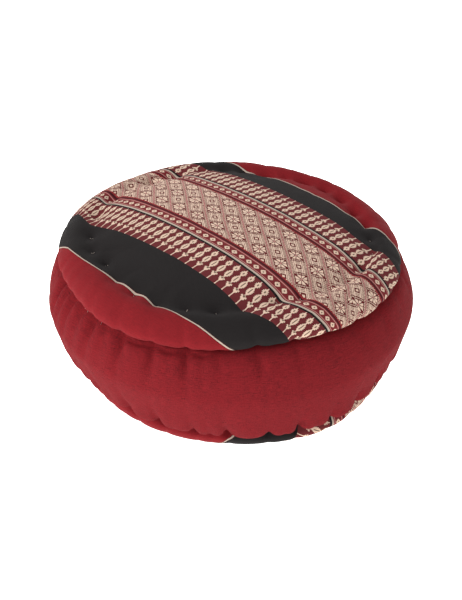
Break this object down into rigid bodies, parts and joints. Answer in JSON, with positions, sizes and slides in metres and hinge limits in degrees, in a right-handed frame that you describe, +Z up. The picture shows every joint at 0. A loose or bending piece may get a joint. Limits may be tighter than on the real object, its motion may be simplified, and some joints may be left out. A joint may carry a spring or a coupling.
{
  "type": "zafu cushion",
  "caption": "Round floor cushion with a crowned, tufted top panel, a gathered side band and a flat panel to rest on.",
  "frame": {"origin": "middle of the cushion's box, on the surface that it rests on", "axes": "+Z up, -Y the front that the picture shows, +X to the right"},
  "size_m": [0.3966, 0.408, 0.171],
  "materials": {
    "red_cloth": "plain woven cotton in two red yarns, soft and matt",
    "brocade_cloth": "striped brocade in cream, maroon, red and black, matt with raised figures"
  },
  "bodies": {
    "root": {"filled_body": "red_cloth", "top_panel": "brocade_cloth", "bottom_panel": "brocade_cloth"}
  },
  "joints": []
}
